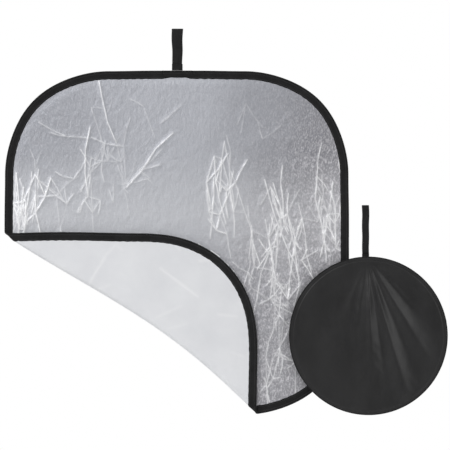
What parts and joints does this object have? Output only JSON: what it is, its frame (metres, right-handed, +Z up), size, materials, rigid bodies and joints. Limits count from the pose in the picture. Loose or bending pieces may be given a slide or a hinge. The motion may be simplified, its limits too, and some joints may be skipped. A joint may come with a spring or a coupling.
{
  "type": "collapsible light reflector",
  "caption": "Rounded-square pop-up light reflector, silver and white, with one corner turned over, beside its round zip case.",
  "frame": {"origin": "inside the top of the panel's hang loop, where a hook or hanger carries the reflector", "axes": "+X to the right along the panel's top edge, +Z up the panel, +Y out of the white back, so the silver side faces -Y"},
  "size_m": [1.7039, 0.0492, 1.4864],
  "materials": {
    "silver_cloth": "metallised woven cloth, finely creased",
    "white_cloth": "matt white woven cloth",
    "binding_tape": "black twill tape, stitched",
    "webbing": "ribbed black webbing",
    "case_cloth": "black woven nylon, softly wrinkled",
    "case_piping": "black piping cord, cloth covered",
    "zip_tape": "black woven zip tape",
    "zip_coil": "black nylon coil",
    "zip_metal": "dark plated zinc",
    "spring_steel": "blued flat spring steel"
  },
  "bodies": {
    "panel": {"silver_cloth": "silver_cloth", "white_cloth": "white_cloth", "hoop": "spring_steel", "hoop_ferrule": "spring_steel", "rim_binding": "binding_tape", "binding_lap": "binding_tape", "panel_loop_tack": "webbing", "silver_cloth_fold": "silver_cloth", "white_cloth_fold": "white_cloth", "hoop_fold_left": "spring_steel", "hoop_fold_right": "spring_steel", "rim_fold_left": "binding_tape", "rim_fold_right": "binding_tape"},
    "corner": {"silver_cloth_corner": "silver_cloth", "white_cloth_corner": "white_cloth", "hoop_corner": "spring_steel", "rim_binding_corner": "binding_tape"},
    "panel_loop": {"panel_hang_loop": "webbing"},
    "case": {"case_back": "case_cloth", "case_front_lower": "case_cloth", "case_side_band": "case_cloth", "case_piping_back": "case_piping", "case_piping_front": "case_piping", "zip_tape_back": "zip_tape", "zip_tape_ends": "zip_tape", "zip_coil_back": "zip_coil", "zip_coil_ends": "zip_coil", "zip_stops": "zip_metal", "case_loop_tack": "webbing"},
    "case_mouth": {"case_front_upper": "case_cloth", "case_mouth_band": "case_cloth", "case_piping_mouth": "case_piping", "zip_tape_front": "zip_tape", "zip_coil_front": "zip_coil"},
    "slider": {"zip_slider": "zip_metal"},
    "pull": {"zip_pull": "zip_metal"},
    "case_loop": {"case_hang_loop": "webbing"}
  },
  "joints": [
    {"name": "corner_fold", "type": "hinge", "parent": "panel", "child": "corner", "pos_m": [-0.17844, -0.008, -1.13338], "axis": [0.8174, 0, -0.576], "range_deg": [0, 95], "deforming": ["silver_cloth_fold", "white_cloth_fold", "hoop_fold_left", "hoop_fold_right", "rim_fold_left", "rim_fold_right"]},
    {"name": "panel_loop_swing", "type": "hinge", "parent": "panel", "child": "panel_loop", "pos_m": [0.002, 0, -0.1325], "axis": [1, 0, 0], "range_deg": [-85, 85]},
    {"name": "case_set_aside", "type": "slide", "parent": "panel", "child": "case", "axis": [0, -1, 0], "range_m": [0, 0.3]},
    {"name": "mouth_open", "type": "hinge", "parent": "case", "child": "case_mouth", "pos_m": [0.733, -0.0382, -1.07145], "axis": [1, 0, 0], "range_deg": [0, 75]},
    {"name": "zip_run", "type": "hinge", "parent": "case", "child": "slider", "pos_m": [0.733, -0.0232, -1.1744], "axis": [0, -1, 0], "range_deg": [0, 148]},
    {"name": "pull_swing", "type": "hinge", "parent": "slider", "child": "pull", "pos_m": [1.0233, -0.0232, -1.09116], "axis": [0, -1, 0], "range_deg": [0, 120]},
    {"name": "case_loop_swing", "type": "hinge", "parent": "case", "child": "case_loop", "pos_m": [0.723, -0.0088, -0.8595], "axis": [1, 0, 0], "range_deg": [-85, 85]}
  ]
}
